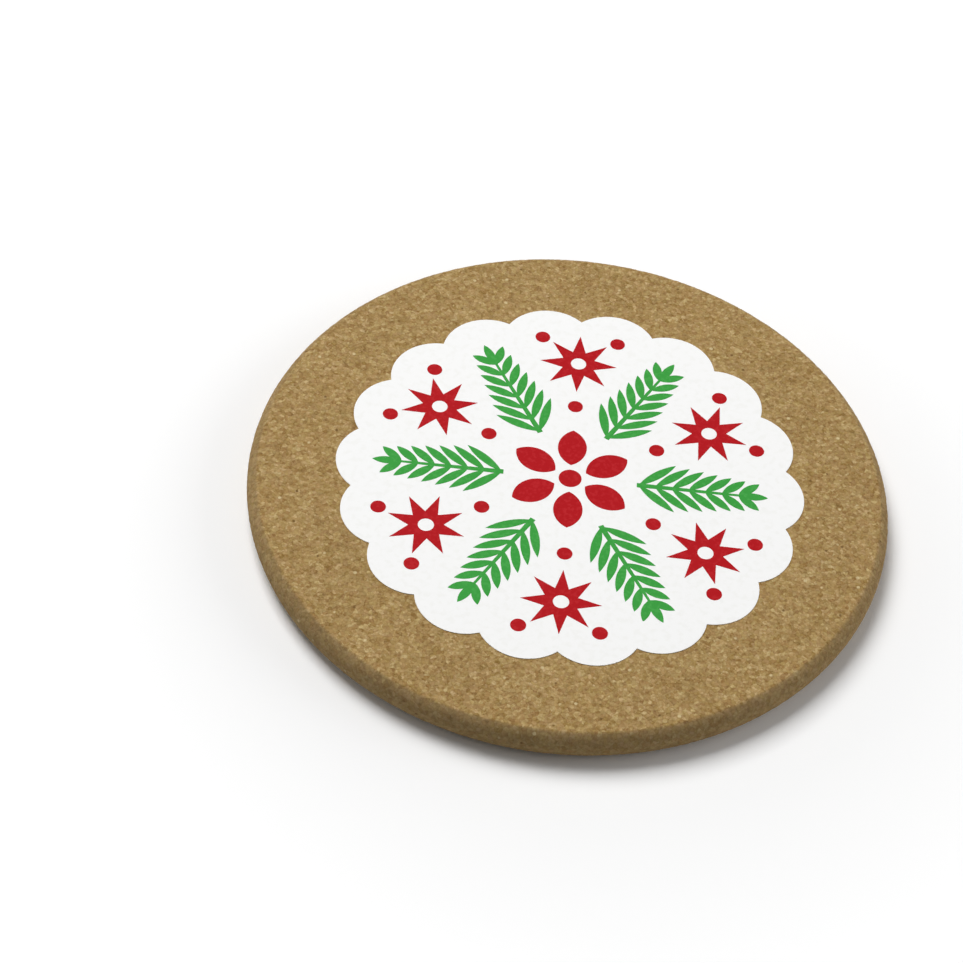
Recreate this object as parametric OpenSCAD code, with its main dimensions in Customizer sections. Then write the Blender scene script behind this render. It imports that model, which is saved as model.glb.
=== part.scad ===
// Round cork drink coaster with a scalloped, printed vinyl label on its top face.
// Millimetres. The origin is the centre of the underside, and +Z points up, out of the label.

/* [Cork disc] */
// Diameter of the cork disc
disc_d = 100; // [90:1:130]
// Thickness of the cork disc
disc_t = 5.5; // [5.5:0.5:12]
// How far the rim of the flat top lies inside the widest line of the side
top_inset = 1.6; // [0.8:0.1:2]
// How far below the top the side is widest
shoulder_h = 2.5; // [2.1:0.1:2.6]
// Radius of the rounded edge round the underside
bottom_edge_r = 2.8; // [0.5:0.1:2.8]

/* [Label] */
// Width of the label, across the crests of two opposite scallops
label_d = 73; // [60:1:80]
// Number of scallops round the label
scallop_count = 18; // [14:1:24]
// Radius of the arc of each scallop
scallop_r = 7.5; // [7:0.1:10]
// Thickness of the adhesive coat under the film
adhesive_t = 0.03; // [0.02:0.01:0.1]
// Thickness of the white film
film_t = 0.09; // [0.06:0.01:0.3]

/* [Print] */
// Thickness of the ink that stands on the film
ink_t = 0.02; // [0.01:0.01:0.06]
// White border between the label's crests and the furthest ink
print_margin = 4; // [3:0.5:8]
// Number of fir sprigs, with one star between each two
sprig_count = 6; // [4:1:6]
// Pairs of needles on each sprig
needle_pairs = 7; // [4:1:8]
// Width of a needle at its middle
needle_w = 1.45; // [1:0.05:1.6]
// Width of a sprig's twig at its root
twig_w = 0.9; // [0.6:0.1:1.2]
// Points of each star
star_points = 8; // [5:1:8]
// Petals of the rosette in the middle
petal_count = 6; // [5:1:8]
// Radius of a berry
berry_r = 1.2; // [0.8:0.1:1.3]

/* [Hidden] */
$fn = 96;

// Heights of the layers, each one standing on the one below it
adhesive_z = disc_t;
film_z = adhesive_z + adhesive_t;
ink_z = film_z + film_t;

// Ring that carries the centres of the scallops' arcs
scallop_ring_r = label_d / 2 - scallop_r;

// Furthest that the ink reaches from the middle. The shares below follow it
print_r = label_d / 2 - print_margin;

// Sprigs: where the twig begins, the needles' lengths and a needle's lean from its twig, in degrees
twig_root_share = 0.32;
twig_tip_w_share = 0.45;
first_needle_share = 0.34;
last_needle_share = 0.82;
root_needle_share = 0.23;
tip_needle_share = 0.13;
needle_lean = 40;

// Stars: the ring they stand on and their own radii
star_ring_share = 0.76;
star_r_share = 0.19;
star_notch_share = 0.44;
star_eye_share = 0.2;

// Rosette: its petals, whose tips stay inside the sprigs' roots, and the dot in their middle
petal_root_share = 0.085;
petal_tip_share = 0.31;
petal_w_share = 0.14;
rosette_dot_share = 0.055;

// Berries: one inside each star and two outside it, spread to its sides by an angle in degrees
inner_berry_share = 0.47;
outer_berry_share = 0.94;
outer_berry_spread = 11.5;

cork_colour = "#A98B5B";
adhesive_colour = "#E4DFD2";
film_colour = "#F6F6F4";
green_ink_colour = "#419D46";
red_ink_colour = "#B31F24";

// Half of the disc's section. The side is an arc above its widest line and another arc below it
module disc_section() {
    widest_r = disc_d / 2;
    widest_z = disc_t - shoulder_h;
    shoulder_r = (shoulder_h * shoulder_h + top_inset * top_inset) / (2 * top_inset);
    flat_bottom_r = widest_r - bottom_edge_r;
    square([flat_bottom_r, disc_t]);
    translate([0, bottom_edge_r]) square([widest_r, widest_z - bottom_edge_r]);
    intersection() {
        square([widest_r, bottom_edge_r]);
        translate([flat_bottom_r, bottom_edge_r]) circle(r = bottom_edge_r);
    }
    intersection() {
        translate([0, widest_z]) square([widest_r, shoulder_h]);
        union() {
            square([widest_r - shoulder_r, disc_t]);
            translate([widest_r - shoulder_r, widest_z]) circle(r = shoulder_r);
        }
    }
}

// Outline that the label is cut to
module scalloped_outline() {
    circle(r = scallop_ring_r);
    for (i = [0 : scallop_count - 1])
        rotate(i * 360 / scallop_count) translate([scallop_ring_r, 0]) circle(r = scallop_r);
}

// Leaf shape between two equal arcs, from the origin along +X
module lens(length, width) {
    arc_r = (length * length + width * width) / (4 * width);
    intersection() {
        translate([length / 2, arc_r - width / 2]) circle(r = arc_r);
        translate([length / 2, width / 2 - arc_r]) circle(r = arc_r);
    }
}

// One fir sprig along +X: a tapered twig, needles in pairs and a needle at the tip
module fir_sprig() {
    root = twig_root_share * print_r;
    tip_needle = tip_needle_share * print_r;
    last = last_needle_share * print_r;
    tip_w = twig_tip_w_share * twig_w;
    polygon([[root, -twig_w / 2], [last, -tip_w / 2], [last, tip_w / 2], [root, twig_w / 2]]);
    for (i = [0 : needle_pairs - 1]) {
        way = i / (needle_pairs - 1);
        foot = print_r * (first_needle_share + way * (last_needle_share - first_needle_share)) - tip_w;
        length = print_r * (root_needle_share + way * (tip_needle_share - root_needle_share));
        for (side = [-1, 1])
            translate([foot, 0]) rotate(side * needle_lean) lens(length, needle_w);
    }
    translate([last - tip_w, 0]) lens(tip_needle + tip_w, needle_w);
}

// Star with its first point along +X and a round eye
module star(outer_r, notch_r, eye_r) {
    difference() {
        polygon([
            for (i = [0 : 2 * star_points - 1])
                let (r = i % 2 == 0 ? outer_r : notch_r, a = i * 180 / star_points)
                    [r * cos(a), r * sin(a)]
        ]);
        circle(r = eye_r);
    }
}

// Places its children between the sprigs, with +X pointing out
module between_sprigs() {
    for (i = [0 : sprig_count - 1])
        rotate((i + 0.5) * 360 / sprig_count) children();
}

module cork_disc() {
    color(cork_colour) rotate_extrude() disc_section();
}

module label_adhesive() {
    color(adhesive_colour) translate([0, 0, adhesive_z])
        linear_extrude(adhesive_t) scalloped_outline();
}

module label_film() {
    color(film_colour) translate([0, 0, film_z])
        linear_extrude(film_t) scalloped_outline();
}

module sprig_print() {
    color(green_ink_colour) translate([0, 0, ink_z]) linear_extrude(ink_t)
        for (i = [0 : sprig_count - 1])
            rotate(i * 360 / sprig_count) fir_sprig();
}

module star_print() {
    outer_r = star_r_share * print_r;
    color(red_ink_colour) translate([0, 0, ink_z]) linear_extrude(ink_t)
        between_sprigs() translate([star_ring_share * print_r, 0])
            star(outer_r, star_notch_share * outer_r, star_eye_share * outer_r);
}

module rosette_print() {
    root = petal_root_share * print_r;
    color(red_ink_colour) translate([0, 0, ink_z]) linear_extrude(ink_t) {
        circle(r = rosette_dot_share * print_r);
        for (i = [0 : petal_count - 1])
            rotate((i + 0.5) * 360 / petal_count) translate([root, 0])
                lens(petal_tip_share * print_r - root, petal_w_share * print_r);
    }
}

module berry_print() {
    color(red_ink_colour) translate([0, 0, ink_z]) linear_extrude(ink_t)
        between_sprigs() {
            translate([inner_berry_share * print_r, 0]) circle(r = berry_r);
            for (side = [-1, 1])
                rotate(side * outer_berry_spread)
                    translate([outer_berry_share * print_r, 0]) circle(r = berry_r);
        }
}

cork_disc();
label_adhesive();
label_film();
sprig_print();
star_print();
rosette_print();
berry_print();
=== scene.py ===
"""Looks of a round cork drink coaster: granular cork, a white vinyl label and its printed inks."""

import logging
import math
from dataclasses import dataclass
from enum import Enum
from typing import Any

import bpy
import numpy as np
from mathutils import Color, Matrix, Vector


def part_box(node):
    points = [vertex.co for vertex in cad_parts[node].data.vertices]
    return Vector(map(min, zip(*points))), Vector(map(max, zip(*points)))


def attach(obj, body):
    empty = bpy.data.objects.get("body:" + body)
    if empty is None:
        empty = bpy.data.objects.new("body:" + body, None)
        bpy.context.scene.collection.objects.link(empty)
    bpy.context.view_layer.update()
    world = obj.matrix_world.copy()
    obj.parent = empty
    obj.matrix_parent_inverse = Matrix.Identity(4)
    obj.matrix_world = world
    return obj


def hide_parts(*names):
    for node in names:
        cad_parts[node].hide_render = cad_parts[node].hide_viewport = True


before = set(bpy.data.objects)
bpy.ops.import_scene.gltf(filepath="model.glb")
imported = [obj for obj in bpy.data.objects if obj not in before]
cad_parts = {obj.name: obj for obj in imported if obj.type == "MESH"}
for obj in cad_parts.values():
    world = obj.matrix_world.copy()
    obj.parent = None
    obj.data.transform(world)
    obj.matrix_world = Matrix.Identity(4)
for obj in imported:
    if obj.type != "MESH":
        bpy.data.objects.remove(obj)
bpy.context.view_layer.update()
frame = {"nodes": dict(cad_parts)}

LOG = logging.getLogger("coaster")
MM = 0.001
WHITE = "#FFFFFF"
# Hue of a Hue/Saturation node that changes nothing
SAME_HUE = 0.5
# Colour sockets of a Mix node, which share their names with its number sockets
COLOUR_A = 6
COLOUR_B = 7
COLOUR_OUT = 2

Tree = bpy.types.NodeTree
Socket = bpy.types.NodeSocket
Stops = tuple[tuple[float, str], ...]


class Node(Enum):
    """CAD nodes of the coaster."""

    CORK = "cork_disc"
    ADHESIVE = "label_adhesive"
    FILM = "label_film"
    SPRIGS = "sprig_print"
    STARS = "star_print"
    ROSETTE = "rosette_print"
    BERRIES = "berry_print"


class Slot(Enum):
    """Material slots of the record; no piece here takes its finish from them."""

    CORK = "cork"


class Mark(Enum):
    """Vertex group and attributes that the cork's relief and material go by."""

    BARE = "bare_cork"
    PIT = "pit_depth"
    SIDE = "side_share"


class Element(Enum):
    """Mesh elements that an edit works on."""

    EDGES = "EDGE"
    FACES = "FACE"


class Hollow(Enum):
    """Where a relief's cell texture sinks the surface."""

    CENTRE = "VORONOI_F1"
    SEAM = "VORONOI_F2_F1"


def linear(hex_colour: str) -> tuple[float, float, float, float]:
    """Turns an sRGB hex colour into linear RGBA.

    Args:
        hex_colour: Six hex digits after a hash sign.

    Returns:
        Red, green and blue from 0 to 1, and an alpha of 1.
    """
    shown = Color([channel / 255 for channel in bytes.fromhex(hex_colour[1:])])
    return (*shown.from_srgb_to_scene_linear(), 1.0)


def add_node(
    tree: Tree,
    kind: str,
    settings: dict[str, Any] | None = None,
    inputs: dict[str | int, Any] | None = None,
    stops: Stops = (),
) -> bpy.types.Node:
    """Adds a node with its settings and links.

    Args:
        tree: The node tree that gets the node.
        kind: The node's type.
        settings: Attributes to set on the node.
        inputs: Input name or number, to a constant or to the output socket that feeds it.
        stops: Places on a colour ramp, with their sRGB hex colours.

    Returns:
        The new node.
    """
    node = tree.nodes.new(kind)
    for name, value in (settings or {}).items():
        setattr(node, name, value)
    for key, value in (inputs or {}).items():
        if isinstance(value, Socket):
            tree.links.new(value, node.inputs[key])
        else:
            node.inputs[key].default_value = value
    if stops:
        elements = node.color_ramp.elements
        while len(elements) < len(stops):
            elements.new(1.0)
        for element, (place, colour) in zip(elements, stops):
            element.position = place
            element.color = linear(colour)
    return node


def new_material(name: str) -> tuple[bpy.types.Material, Tree]:
    """Makes a material with an empty node tree.

    Args:
        name: The real material's name.

    Returns:
        The material and its node tree.
    """
    material = bpy.data.materials.new(name)
    material.use_nodes = True
    material.node_tree.nodes.clear()
    return material, material.node_tree


def close_material(
    tree: Tree, colour: Socket, normal: Socket, finish: "CorkFinish | SatinFinish"
) -> None:
    """Ends a finish's material with its surface.

    Args:
        tree: The material's node tree.
        colour: The surface's colour.
        normal: Its normal.
        finish: The finish that gives its roughness, its IOR and how much of its gloss shows.
    """
    shader = add_node(
        tree,
        "ShaderNodeBsdfPrincipled",
        inputs={
            "Base Color": colour,
            "Roughness": finish.roughness,
            "IOR": finish.ior,
            "Specular IOR Level": finish.sheen_level,
            "Normal": normal,
        },
    )
    add_node(tree, "ShaderNodeOutputMaterial", inputs={"Surface": shader.outputs[0]})


def set_material(piece: bpy.types.Object, material: bpy.types.Material) -> None:
    """Puts one material into every slot of a piece.

    Args:
        piece: The piece.
        material: The material.
    """
    if not piece.material_slots:
        piece.data.materials.append(material)
    for slot in piece.material_slots:
        slot.material = material


@dataclass(frozen=True)
class Specks:
    """Specks of one colour, scattered through the cork.

    The spacing is that of the places that can hold a speck. The shares are of those places, of the
    spacing and of the speck's radius.
    """

    colour: str
    spacing: float
    filled_share: float = 0.25
    radius_share: float = 0.13
    core_share: float = 0.6
    strength: float = 0.75

    def scatter(self, tree: Tree, place: Socket, under: Socket) -> Socket:
        """Scatters the specks over a colour.

        Args:
            tree: The material's node tree.
            place: The coordinates.
            under: The colour that they lie in.

        Returns:
            The colour with the specks.
        """
        cells = add_node(
            tree, "ShaderNodeTexVoronoi", inputs={"Vector": place, "Scale": 1 / self.spacing}
        )
        lot = add_node(tree, "ShaderNodeSeparateColor", inputs={"Color": cells.outputs["Color"]})
        near = add_node(
            tree,
            "ShaderNodeMapRange",
            inputs={
                "Value": cells.outputs["Distance"],
                "From Min": self.radius_share,
                "From Max": self.radius_share * self.core_share,
                "To Max": self.strength,
            },
        )
        filled = add_node(
            tree,
            "ShaderNodeMath",
            {"operation": "LESS_THAN"},
            {0: lot.outputs["Red"], 1: self.filled_share},
        )
        share = add_node(
            tree, "ShaderNodeMath", {"operation": "MULTIPLY"}, {0: near.outputs[0], 1: filled.outputs[0]}
        )
        return add_node(
            tree,
            "ShaderNodeMix",
            {"data_type": "RGBA"},
            {"Factor": share.outputs[0], COLOUR_A: under, COLOUR_B: linear(self.colour)},
        ).outputs[COLOUR_OUT]


@dataclass(frozen=True)
class CorkFinish:
    """Agglomerated cork, ground fine, pressed with a binder, cut and sanded.

    The eye sees tan granules in slightly different tones, darker lines of binder between them, a few
    dark crumbs of bark, some pale flecks, and no gloss. The rounded side is rougher and more even in
    tone.
    Painted shade darkens and greys the rounded side, and darkens the pits by their depth.
    """

    granule: float = 0.58 * MM
    crumb: float = 0.3 * MM
    crumb_share: float = 0.45
    warp: float = 0.22 * MM
    warp_octaves: float = 2.0
    tones: Stops = (
        (0.0, "#88683A"),
        (0.25, "#9C7D4C"),
        (0.5, "#AA8C5A"),
        (0.75, "#B79A67"),
        (1.0, "#CEB483"),
    )
    middle_tone: float = 0.5
    hue_spread: float = 0.006
    richness_spread: float = 0.03
    bark: Specks = Specks("#6A4E2C", 2.2 * MM)
    flecks: Specks = Specks("#DECB9C", 2.6 * MM)
    cloud: float = 11 * MM
    cloud_octaves: float = 3.0
    cloud_low: float = 0.3
    cloud_high: float = 0.7
    cloud_dark: float = 0.94
    cloud_light: float = 1.01
    seam_share: float = 0.16
    seam_shade: float = 0.86
    grit_share: float = 0.8
    grit_octaves: float = 4.0
    relief: float = 0.04 * MM
    relief_strength: float = 0.8
    pit_depth: float = 0.2 * MM
    # painted shade in the pits: the deepest are darkened to this share
    painted_pit_shade: float = 0.62
    # painted shade on the rounded side: its colour is scaled down to this share
    painted_side_shade: float = 0.85
    side_calm: float = 0.35
    # painted shade on the rounded side: its saturation is scaled down to this share
    painted_side_greying: float = 0.95
    roughness: float = 0.95
    ior: float = 1.4
    sheen_level: float = 0.15

    def material(self) -> bpy.types.Material:
        """Builds the cork material.

        Returns:
            The material, on Object coordinates and the piece's two attributes.
        """
        material, tree = new_material("agglomerated_cork")
        place = add_node(tree, "ShaderNodeTexCoord").outputs["Object"]
        side = add_node(tree, "ShaderNodeAttribute", {"attribute_name": Mark.SIDE.value}).outputs["Fac"]
        warped = self.warped(tree, place)
        colour = self.granule_colour(tree, place, warped, side)
        for specks in (self.bark, self.flecks):
            colour = specks.scatter(tree, warped, colour)
        seam = self.seam(tree, warped)
        # the seams' own darker binder, with painted shade in the pits and on the rounded side
        seams_and_painted_shade = self.seams_and_painted_shade(tree, seam, side)
        shaded = add_node(
            tree, "ShaderNodeVectorMath", {"operation": "SCALE"}, {0: colour, "Scale": seams_and_painted_shade}
        )
        close_material(tree, shaded.outputs[0], self.grain(tree, place, seam), self)
        return material

    def warped(self, tree: Tree, place: Socket) -> Socket:
        """Bends the coordinates a little, so that the granules aren't straight-edged.

        Args:
            tree: The material's node tree.
            place: The object coordinates.

        Returns:
            The bent coordinates.
        """
        wobble = add_node(
            tree,
            "ShaderNodeTexNoise",
            inputs={"Vector": place, "Scale": 1 / self.granule, "Detail": self.warp_octaves},
        )
        offset = add_node(
            tree,
            "ShaderNodeVectorMath",
            {"operation": "MULTIPLY_ADD"},
            {0: wobble.outputs["Color"], 1: (self.warp,) * 3, 2: (-self.warp / 2,) * 3},
        )
        return add_node(
            tree, "ShaderNodeVectorMath", {"operation": "ADD"}, {0: place, 1: offset.outputs[0]}
        ).outputs[0]

    def granule_colour(self, tree: Tree, place: Socket, warped: Socket, side: Socket) -> Socket:
        """Gives each granule and crumb its own tan, in soft patches of lighter and darker cork,
        and greys the rounded side as painted shade.

        Args:
            tree: The material's node tree.
            place: The object coordinates.
            warped: The bent coordinates.
            side: The mark of the rounded side.

        Returns:
            The colour.
        """
        lots = []
        for size in (self.granule, self.crumb):
            cells = add_node(tree, "ShaderNodeTexVoronoi", inputs={"Vector": warped, "Scale": 1 / size})
            lot = add_node(tree, "ShaderNodeSeparateColor", inputs={"Color": cells.outputs["Color"]})
            lots.append(lot.outputs)
        granule, crumb = lots
        changes = []
        # the third change greys the rounded side as painted shade
        for source, start, end in (
            (granule["Green"], SAME_HUE - self.hue_spread, SAME_HUE + self.hue_spread),
            (granule["Blue"], 1 - self.richness_spread, 1 + self.richness_spread),
            (side, 1.0, self.painted_side_greying),
        ):
            change = add_node(
                tree, "ShaderNodeMapRange", inputs={"Value": source, "To Min": start, "To Max": end}
            )
            changes.append(change.outputs[0])
        hue, richness, painted_side_greying = changes
        saturation = add_node(
            tree, "ShaderNodeMath", {"operation": "MULTIPLY"}, {0: richness, 1: painted_side_greying}
        )
        return add_node(
            tree,
            "ShaderNodeHueSaturation",
            inputs={
                "Color": self.tan(tree, granule["Red"], crumb["Red"], side),
                "Hue": hue,
                "Saturation": saturation.outputs[0],
                "Value": self.patches(tree, place),
            },
        ).outputs["Color"]

    def tan(self, tree: Tree, granule: Socket, crumb: Socket, side: Socket) -> Socket:
        """Picks a tan for each granule and crumb, nearer to the middle one on the rounded side.

        Args:
            tree: The material's node tree.
            granule: Each granule's random number.
            crumb: Each crumb's random number.
            side: The mark of the rounded side.

        Returns:
            The colour.
        """
        tone = add_node(
            tree, "ShaderNodeMix", inputs={"Factor": self.crumb_share, "A": granule, "B": crumb}
        )
        calm = add_node(tree, "ShaderNodeMath", {"operation": "MULTIPLY"}, {0: side, 1: self.side_calm})
        calmed = add_node(
            tree,
            "ShaderNodeMix",
            inputs={"Factor": calm.outputs[0], "A": tone.outputs[0], "B": self.middle_tone},
        )
        return add_node(
            tree, "ShaderNodeValToRGB", inputs={"Fac": calmed.outputs[0]}, stops=self.tones
        ).outputs["Color"]

    def patches(self, tree: Tree, place: Socket) -> Socket:
        """Makes soft patches of lighter and darker cork.

        Args:
            tree: The material's node tree.
            place: The object coordinates.

        Returns:
            The factor to change the colour's value by.
        """
        cloud = add_node(
            tree,
            "ShaderNodeTexNoise",
            inputs={"Vector": place, "Scale": 1 / self.cloud, "Detail": self.cloud_octaves},
        )
        return add_node(
            tree,
            "ShaderNodeMapRange",
            inputs={
                "Value": cloud.outputs["Fac"],
                "From Min": self.cloud_low,
                "From Max": self.cloud_high,
                "To Min": self.cloud_dark,
                "To Max": self.cloud_light,
            },
        ).outputs[0]

    def seam(self, tree: Tree, warped: Socket) -> Socket:
        """Finds the lines of binder between the granules.

        Args:
            tree: The material's node tree.
            warped: The bent coordinates.

        Returns:
            A factor that is 1 within a granule and darkest on its outline.
        """
        cells = add_node(
            tree,
            "ShaderNodeTexVoronoi",
            {"feature": "DISTANCE_TO_EDGE"},
            {"Vector": warped, "Scale": 1 / self.granule},
        )
        return add_node(
            tree,
            "ShaderNodeMapRange",
            inputs={
                "Value": cells.outputs["Distance"],
                "From Max": self.seam_share,
                "To Min": self.seam_shade,
            },
        ).outputs[0]

    def seams_and_painted_shade(self, tree: Tree, seam: Socket, side: Socket) -> Socket:
        """Darkens the seams of binder, and paints shade into the pits and onto the rounded side.

        Args:
            tree: The material's node tree.
            seam: The seams' own factor.
            side: The mark of the rounded side.

        Returns:
            The factor to scale the colour by.
        """
        pit = add_node(tree, "ShaderNodeAttribute", {"attribute_name": Mark.PIT.value}).outputs["Fac"]
        product = seam
        # painted shade: the pits are darkened by their depth, and the rounded side all over
        for mark, full, dark in ((pit, self.pit_depth, self.painted_pit_shade), (side, 1.0, self.painted_side_shade)):
            factor = add_node(
                tree,
                "ShaderNodeMapRange",
                inputs={"Value": mark, "From Max": full, "To Min": 1.0, "To Max": dark},
            )
            product = add_node(
                tree, "ShaderNodeMath", {"operation": "MULTIPLY"}, {0: product, 1: factor.outputs[0]}
            ).outputs[0]
        return product

    def grain(self, tree: Tree, place: Socket, seam: Socket) -> Socket:
        """Bends the normal by the seams and by a finer grit.

        Args:
            tree: The material's node tree.
            place: The object coordinates.
            seam: The seams' factor, which is also their height.

        Returns:
            The bent normal.
        """
        grit = add_node(
            tree,
            "ShaderNodeTexNoise",
            inputs={"Vector": place, "Scale": 1 / self.crumb, "Detail": self.grit_octaves},
        )
        height = add_node(
            tree,
            "ShaderNodeMath",
            {"operation": "MULTIPLY_ADD"},
            {0: grit.outputs["Fac"], 1: self.grit_share, 2: seam},
        )
        return add_node(
            tree,
            "ShaderNodeBump",
            inputs={
                "Strength": self.relief_strength,
                "Distance": self.relief,
                "Height": height.outputs[0],
            },
        ).outputs["Normal"]


@dataclass(frozen=True)
class SatinFinish:
    """A thin satin layer, with a faint grain and a faint change of tone."""

    name: str
    colour: str
    thin_colour: str
    grain: float
    relief: float
    roughness: float
    ior: float
    sheen_level: float
    octaves: float = 2.0
    thin_place: float = 0.35
    full_place: float = 0.5

    def material(self) -> bpy.types.Material:
        """Builds the layer's material.

        Returns:
            The material, on Object coordinates.
        """
        material, tree = new_material(self.name)
        place = add_node(tree, "ShaderNodeTexCoord").outputs["Object"]
        grain = add_node(
            tree,
            "ShaderNodeTexNoise",
            inputs={"Vector": place, "Scale": 1 / self.grain, "Detail": self.octaves},
        ).outputs["Fac"]
        tone = add_node(
            tree,
            "ShaderNodeValToRGB",
            inputs={"Fac": grain},
            stops=((self.thin_place, self.thin_colour), (self.full_place, self.colour)),
        )
        bump = add_node(
            tree,
            "ShaderNodeBump",
            inputs={"Strength": 1.0, "Distance": self.relief, "Height": grain},
        )
        close_material(tree, tone.outputs["Color"], bump.outputs["Normal"], self)
        return material


@dataclass(frozen=True)
class FilmFinish(SatinFinish):
    """Calendered white vinyl, stuck down on cork.

    The eye sees a clean satin white, with the grain below it pressing through very faintly.
    """

    name: str = "white_vinyl_film"
    colour: str = "#F9F9F8"
    thin_colour: str = "#F6F6F4"
    grain: float = 1.1 * MM
    relief: float = 0.006 * MM
    roughness: float = 0.8
    ior: float = 1.53
    sheen_level: float = 0.02


@dataclass(frozen=True)
class AdhesiveFinish(SatinFinish):
    """Pressure-sensitive adhesive, seen only as a cream line at the film's cut edge."""

    name: str = "pressure_sensitive_adhesive"
    colour: str = "#E4DFD2"
    thin_colour: str = "#DDD6C6"
    grain: float = 1.1 * MM
    relief: float = 0.006 * MM
    roughness: float = 0.3
    ior: float = 1.47
    sheen_level: float = 0.02


@dataclass(frozen=True)
class InkFinish(SatinFinish):
    """Screen ink on vinyl: one even colour with a slight change of density, and a satin skin."""

    grain: float = 0.6 * MM
    relief: float = 0.004 * MM
    roughness: float = 0.55
    ior: float = 1.5
    sheen_level: float = 0.04


@dataclass(frozen=True)
class Relief:
    """Hollows of one kind in the cork, sunk by a texture of cells.

    The texture's value is deep_place or less where a hollow is deepest, and level_place or more where
    the surface stays as it is.
    """

    name: str
    hollow: Hollow
    spacing: float
    depth: float
    deep_place: float
    level_place: float

    def sink(self, piece: bpy.types.Object, group: bpy.types.VertexGroup) -> None:
        """Sinks the hollows into a piece.

        Args:
            piece: The piece, which is the active object.
            group: The vertices that may sink, with the share of the depth that they sink by.
        """
        texture = bpy.data.textures.new(self.name, "CLOUDS")
        texture.noise_basis = self.hollow.value
        texture.noise_depth = 0
        texture.noise_scale = self.spacing
        texture.use_color_ramp = True
        places = (self.deep_place, self.level_place)
        for element, place, grey in zip(texture.color_ramp.elements, places, (0.0, 1.0)):
            element.position = place
            element.color = (grey, grey, grey, 1.0)
        modifier = piece.modifiers.new(self.name, "DISPLACE")
        modifier.texture = texture
        modifier.texture_coords = "LOCAL"
        modifier.strength = self.depth
        modifier.mid_level = 1.0
        modifier.vertex_group = group.name
        bpy.ops.object.modifier_apply(modifier=modifier.name)


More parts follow.
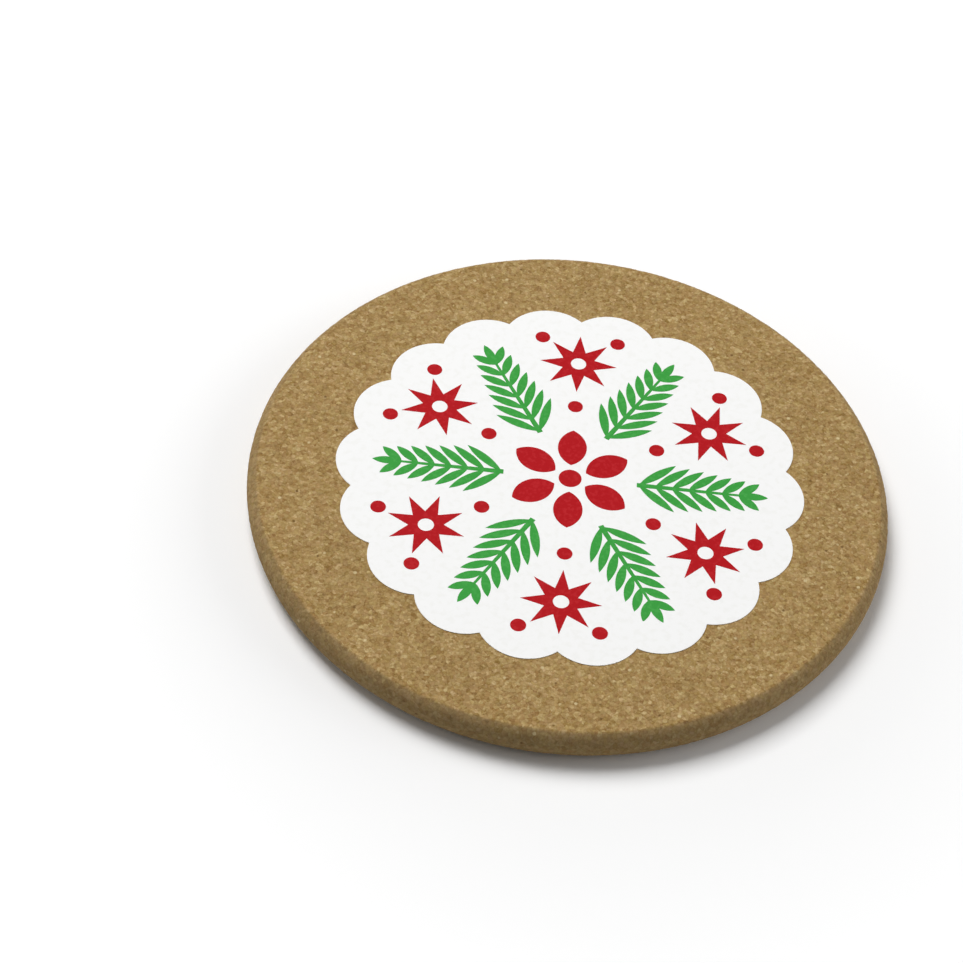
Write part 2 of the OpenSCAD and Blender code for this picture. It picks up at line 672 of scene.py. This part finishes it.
@dataclass
class CorkDisc:
    """The disc of pressed cork: a flat top, a rounded side and the relief of its granules.

    A narrow ring of the top, rim_ring wide, keeps the smooth shading of the rim off the rest of it.
    """

    radius: float
    thickness: float
    label_radius: float
    top_inset: float = 1.6 * MM
    shoulder_height: float = 2.5 * MM
    bottom_edge: float = 2.8 * MM
    rim_round: float = 0.3 * MM
    rim_ring: float = 0.08 * MM
    side_fade: float = 0.2 * MM
    sectors: int = 840
    level_share: float = 0.01
    ring_share: float = 0.05
    scallop_radius: float = 7.5 * MM
    scallops: int = 18
    label_margin: float = 0.4 * MM
    granule_seams: Relief = Relief("granule_seams", Hollow.SEAM, 1.0 * MM, 0.06 * MM, 0.0, 0.35)
    lost_granules: Relief = Relief("lost_granules", Hollow.CENTRE, 1.7 * MM, 0.16 * MM, 0.08, 0.26)
    top_relief_share: float = 0.5
    side_relief_share: float = 0.75
    finish: CorkFinish = CorkFinish()

    @property
    def step(self) -> float:
        """Spacing of the mesh lines, as they meet the rim."""
        return math.tau * self.radius / self.sectors

    @property
    def tolerance(self) -> float:
        """How far from a level a vertex still counts as lying on it."""
        return self.level_share * self.step

    @property
    def scallop_ring(self) -> float:
        """Radius of the ring that carries the centres of the label's scallops."""
        return self.label_radius - self.scallop_radius

    @property
    def covered_radius(self) -> float:
        """Radius that the label covers all round, two margins inside its valleys."""
        half_pitch = math.pi / self.scallops
        across = math.sqrt(self.scallop_radius**2 - (self.scallop_ring * math.sin(half_pitch)) ** 2)
        return self.scallop_ring * math.cos(half_pitch) + across - 2 * self.label_margin

    def build(self) -> bpy.types.Object:
        """Models the disc.

        Returns:
            The finished piece.
        """
        bpy.ops.object.select_all(action="DESELECT")
        bpy.ops.mesh.primitive_cylinder_add(
            vertices=self.sectors,
            radius=self.radius,
            depth=self.thickness,
            location=(0, 0, self.thickness / 2),
        )
        piece = bpy.context.object
        piece.name = "cork_body"
        bpy.ops.object.transform_apply(location=True, rotation=True, scale=True)
        self.round_side(piece)
        self.ring_top(piece)
        self.grid_bottom(piece)
        bpy.ops.object.shade_smooth()
        self.roughen(piece)
        set_material(piece, self.finish.material())
        return piece

    def side_rings(self) -> list[tuple[float, float]]:
        """Lists the rings of the rounded side: its under arc, its shoulder and the rim of the top.

        Returns:
            Radius and height of each ring, from the underside up.
        """
        shoulder = (self.shoulder_height**2 + self.top_inset**2) / (2 * self.top_inset)
        hub = self.radius - shoulder
        rise = self.shoulder_height - self.rim_round
        run = math.sqrt((shoulder - self.rim_round) ** 2 - rise**2)
        sweep = math.atan2(rise, run)
        low = self.radius - self.bottom_edge
        widest = self.thickness - self.shoulder_height
        top = self.thickness - self.rim_round
        rings = [(low, 0.0)]
        for across, height, reach, start, end in (
            (low, self.bottom_edge, self.bottom_edge, -math.pi / 2, 0.0),
            (hub, widest, shoulder, 0.0, sweep),
            (hub + run, top, self.rim_round, sweep, math.pi / 2),
        ):
            rows = math.ceil(reach * (end - start) / self.step)
            for row in range(rows + 1):
                turn = start + (end - start) * row / rows
                ring = (across + reach * math.cos(turn), height + reach * math.sin(turn))
                if ring[1] > rings[-1][1] + self.ring_share * self.step:
                    rings.append(ring)
        return rings

    def round_side(self, piece: bpy.types.Object) -> None:
        """Cuts the wall into rings and sizes each to the rounded side.

        Args:
            piece: The disc.
        """
        rings = self.side_rings()
        bpy.ops.object.mode_set(mode="EDIT")
        for _, height in rings[1:-1]:
            bpy.ops.mesh.select_all(action="SELECT")
            bpy.ops.mesh.bisect(plane_co=(0, 0, height), plane_no=(0, 0, 1), threshold=self.tolerance)
        for radius, height in rings:
            self.select_level(piece, height, Element.EDGES)
            bpy.ops.object.mode_set(mode="EDIT")
            share = radius / self.radius
            bpy.ops.transform.resize(value=(share, share, 1.0), center_override=(0, 0, 0))
        bpy.ops.object.mode_set(mode="OBJECT")

    def ring_top(self, piece: bpy.types.Object) -> None:
        """Insets the top face ring by ring, in to where the label covers it.

        Args:
            piece: The disc.
        """
        self.select_level(piece, self.thickness, Element.FACES)
        bpy.ops.object.mode_set(mode="EDIT")
        bpy.ops.mesh.inset(thickness=self.rim_ring)
        width = self.side_rings()[-1][0] - self.rim_ring - self.covered_radius
        rings = round(width / self.step)
        for _ in range(rings):
            bpy.ops.mesh.inset(thickness=width / rings)
        bpy.ops.object.mode_set(mode="OBJECT")

    def grid_bottom(self, piece: bpy.types.Object) -> None:
        """Replaces the underside's one face by a grid.

        Args:
            piece: The disc.
        """
        self.select_level(piece, 0.0, Element.FACES)
        bpy.ops.object.mode_set(mode="EDIT")
        bpy.ops.mesh.delete(type="ONLY_FACE")
        bpy.ops.object.mode_set(mode="OBJECT")
        self.select_level(piece, 0.0, Element.EDGES)
        bpy.ops.object.mode_set(mode="EDIT")
        bpy.ops.mesh.fill_grid(span=self.sectors // 4)
        bpy.ops.mesh.select_all(action="SELECT")
        bpy.ops.mesh.normals_make_consistent(inside=False)
        bpy.ops.object.mode_set(mode="OBJECT")

    def select_level(self, piece: bpy.types.Object, height: float, kind: Element) -> None:
        """Selects the edges or faces that lie at one height, and leaves edit mode.

        Args:
            piece: The disc.
            height: The height.
            kind: Edges or faces.
        """
        bpy.ops.object.mode_set(mode="EDIT")
        bpy.ops.mesh.select_mode(type=kind.value)
        bpy.ops.mesh.select_all(action="DESELECT")
        bpy.ops.object.mode_set(mode="OBJECT")
        mesh = piece.data
        tolerance = self.tolerance
        level = [abs(vertex.co.z - height) < tolerance for vertex in mesh.vertices]
        elements = mesh.edges if kind is Element.EDGES else mesh.polygons
        for element in elements:
            element.select = all(level[vertex] for vertex in element.vertices)

    def roughen(self, piece: bpy.types.Object) -> None:
        """Sinks the seams between granules and a few pits, and marks the pits and the side.

        Args:
            piece: The disc.
        """
        mesh = piece.data
        before = self.places(mesh)
        inside = np.minimum(before[:, 2], self.thickness - before[:, 2])
        flat = inside < self.tolerance
        covered = flat & (before[:, 2] > self.thickness / 2) & self.under_label(before)
        group = piece.vertex_groups.new(name=Mark.BARE.value)
        group.add(np.flatnonzero(~flat).tolist(), self.side_relief_share, "REPLACE")
        group.add(np.flatnonzero(flat & ~covered).tolist(), self.top_relief_share, "REPLACE")
        self.granule_seams.sink(piece, group)
        self.lost_granules.sink(piece, group)
        depth = np.linalg.norm(self.places(mesh) - before, axis=1)
        side = np.clip(inside / self.side_fade, 0.0, 1.0)
        for mark, values in ((Mark.PIT, depth), (Mark.SIDE, side)):
            attribute = mesh.attributes.new(mark.value, "FLOAT", "POINT")
            attribute.data.foreach_set("value", values.astype(np.float32))
        LOG.info("cork relief: mean %.4f mm, deepest %.4f mm", depth.mean() / MM, depth.max() / MM)

    def under_label(self, places: np.ndarray) -> np.ndarray:
        """Finds the vertices that lie within the label's scalloped outline, with a margin.

        Args:
            places: One row of X, Y and Z for each vertex.

        Returns:
            True for each vertex within it.
        """
        pitch = math.tau / self.scallops
        turn = np.arctan2(places[:, 1], places[:, 0])
        reach = np.hypot(places[:, 0], places[:, 1])
        aside = turn - np.round(turn / pitch) * pitch
        from_scallop = np.hypot(reach * np.cos(aside) - self.scallop_ring, reach * np.sin(aside))
        return (reach < self.scallop_ring) | (from_scallop < self.scallop_radius + self.label_margin)

    def places(self, mesh: bpy.types.Mesh) -> np.ndarray:
        """Reads the places of a mesh's vertices.

        Args:
            mesh: The mesh.

        Returns:
            One row of X, Y and Z for each vertex.
        """
        flat = np.empty(len(mesh.vertices) * 3)
        mesh.vertices.foreach_get("co", flat)
        return flat.reshape(-1, 3)


@dataclass
class Label:
    """The die-cut label: adhesive, white film and the printed motifs, all as the frame has them."""

    nodes: dict[str, bpy.types.Object]
    film: FilmFinish = FilmFinish()
    adhesive: AdhesiveFinish = AdhesiveFinish()
    green: InkFinish = InkFinish("green_screen_ink", "#3D9C42", "#47A44B")
    red: InkFinish = InkFinish("red_screen_ink", "#B1171E", "#B92228")

    def dress(self) -> None:
        """Gives each layer of the label its material."""
        red = self.red.material()
        layers = {
            Node.ADHESIVE: self.adhesive.material(),
            Node.FILM: self.film.material(),
            Node.SPRIGS: self.green.material(),
            Node.STARS: red,
            Node.ROSETTE: red,
            Node.BERRIES: red,
        }
        for node, material in layers.items():
            set_material(self.nodes[node.value], material)
            LOG.info("%s: %s", node.value, material.name)


@dataclass(frozen=True)
class Softbox:
    """One soft lamp, aimed at the coaster. Its power is in watts."""

    name: str
    place: tuple[float, float, float]
    width: float
    height: float
    power: float

    def hang(self) -> None:
        """Makes the lamp."""
        lamp = bpy.data.lights.new(self.name, "AREA")
        lamp.shape = "RECTANGLE"
        lamp.size = self.width
        lamp.size_y = self.height
        lamp.energy = self.power
        holder = bpy.data.objects.new(self.name, lamp)
        holder.location = self.place
        holder.rotation_euler = Vector(self.place).to_track_quat("Z", "Y").to_euler()
        bpy.context.collection.objects.link(holder)


@dataclass
class Studio:
    """White floor, a large overhead softbox, a panel at each side, even fill and the camera.

    Elevation and roll are in degrees, and the camera looks past the disc's middle by aside and above.
    """

    floor_width: float = 12.0
    floor_drop: float = 0.05 * MM
    paper_colour: str = "#E4E4E4"
    shadow_reach: float = 0.06
    far_floor: float = 0.4
    lamps: tuple[Softbox, ...] = (
        Softbox("overhead", (-0.45, 0.6, 1.15), 0.8, 0.8, 17.0),
        Softbox("left_panel", (-1.5, 0.25, 0.5), 0.6, 1.0, 2.5),
        Softbox("right_panel", (1.5, 0.25, 0.5), 1.4, 1.0, 10.5),
    )
    fill: float = 0.16
    elevation: float = 48.618
    roll: float = 5.795
    distance: float = 438.674 * MM
    aside: float = 13.374 * MM
    above: float = -3.214 * MM
    focal_pixels: float = 2800.0
    frame_pixels: float = 963.0
    sensor: float = 36.0

    def build(self) -> None:
        """Makes the floor, the lights and the camera."""
        self.lay_floor()
        for lamp in self.lamps:
            lamp.hang()
        self.fill_world()
        self.aim_camera()

    def lay_floor(self) -> None:
        """Lays a floor that keeps the shadow and that the camera sees as white beyond it."""
        bpy.ops.object.select_all(action="DESELECT")
        bpy.ops.mesh.primitive_plane_add(size=self.floor_width, location=(0, 0, -self.floor_drop))
        floor = bpy.context.object
        floor.name = "studio_floor"
        material, tree = new_material("white_studio_paper")
        seen = self.seen(tree)
        tone = add_node(
            tree,
            "ShaderNodeMix",
            {"data_type": "RGBA"},
            {"Factor": seen, COLOUR_A: linear(self.paper_colour), COLOUR_B: linear(WHITE)},
        )
        paper = add_node(tree, "ShaderNodeBsdfDiffuse", inputs={"Color": tone.outputs[COLOUR_OUT]})
        place = add_node(tree, "ShaderNodeTexCoord").outputs["Object"]
        reach = add_node(tree, "ShaderNodeVectorMath", {"operation": "LENGTH"}, {0: place})
        level = add_node(
            tree,
            "ShaderNodeMapRange",
            inputs={
                "Value": reach.outputs["Value"],
                "From Min": self.shadow_reach,
                "From Max": self.far_floor,
            },
        )
        strength = add_node(
            tree, "ShaderNodeMath", {"operation": "MULTIPLY"}, {0: level.outputs[0], 1: seen}
        )
        glow = add_node(tree, "ShaderNodeEmission", inputs={"Strength": strength.outputs[0]})
        both = add_node(tree, "ShaderNodeAddShader", inputs={0: paper.outputs[0], 1: glow.outputs[0]})
        add_node(tree, "ShaderNodeOutputMaterial", inputs={"Surface": both.outputs[0]})
        set_material(floor, material)

    def seen(self, tree: Tree) -> Socket:
        """Tells the rays that show the background from those that light the coaster.

        Args:
            tree: The node tree that needs to know.

        Returns:
            A socket that is 1 for camera, glossy and transmission rays.
        """
        rays = add_node(tree, "ShaderNodeLightPath").outputs
        seen = rays["Is Camera Ray"]
        for ray in ("Is Glossy Ray", "Is Transmission Ray"):
            seen = add_node(
                tree, "ShaderNodeMath", {"operation": "MAXIMUM"}, {0: seen, 1: rays[ray]}
            ).outputs[0]
        return seen

    def fill_world(self) -> None:
        """Sets the even fill, which the camera sees as plain white."""
        world = bpy.data.worlds.new("white_studio")
        bpy.context.scene.world = world
        world.use_nodes = True
        tree = world.node_tree
        tree.nodes.clear()
        level = add_node(
            tree, "ShaderNodeMapRange", inputs={"Value": self.seen(tree), "To Min": self.fill}
        )
        sky = add_node(
            tree, "ShaderNodeBackground", inputs={"Color": linear(WHITE), "Strength": level.outputs[0]}
        )
        add_node(tree, "ShaderNodeOutputWorld", inputs={"Surface": sky.outputs[0]})

    def aim_camera(self) -> None:
        """Sets the camera so that the coaster lies where it does in the photograph's frame."""
        lean = math.radians(self.elevation)
        roll = math.radians(self.roll)
        ahead = Vector((0, math.cos(lean), -math.sin(lean)))
        level_up = Vector((0, math.sin(lean), math.cos(lean)))
        level_right = Vector((1, 0, 0))
        right = math.cos(roll) * level_right + math.sin(roll) * level_up
        up = -math.sin(roll) * level_right + math.cos(roll) * level_up
        eye = -(self.distance * ahead + self.aside * right + self.above * up)
        data = bpy.data.cameras.new("camera")
        data.sensor_width = self.sensor
        data.lens = self.focal_pixels / self.frame_pixels * self.sensor
        camera = bpy.data.objects.new("camera", data)
        turn = Matrix((right, up, -ahead)).transposed().to_4x4()
        camera.matrix_world = Matrix.Translation(eye) @ turn
        bpy.context.collection.objects.link(camera)
        bpy.context.scene.camera = camera


def main() -> None:
    """Builds the coaster's pieces in order and sets the scene."""
    logging.basicConfig(level=logging.INFO, format="%(name)s: %(message)s")
    bpy.context.scene.view_settings.view_transform = "Standard"
    low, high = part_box(Node.CORK.value)
    label_low, label_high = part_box(Node.FILM.value)
    disc = CorkDisc(
        radius=(high[0] - low[0]) / 2,
        thickness=high[2] - low[2],
        label_radius=(label_high[0] - label_low[0]) / 2,
    )
    cork = disc.build()
    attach(cork, "root")
    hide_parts(Node.CORK.value)
    LOG.info("%s: %d faces", cork.name, len(cork.data.polygons))
    Label(frame["nodes"]).dress()
    Studio().build()
    LOG.info("studio set")


if __name__ == "__main__":
    main()
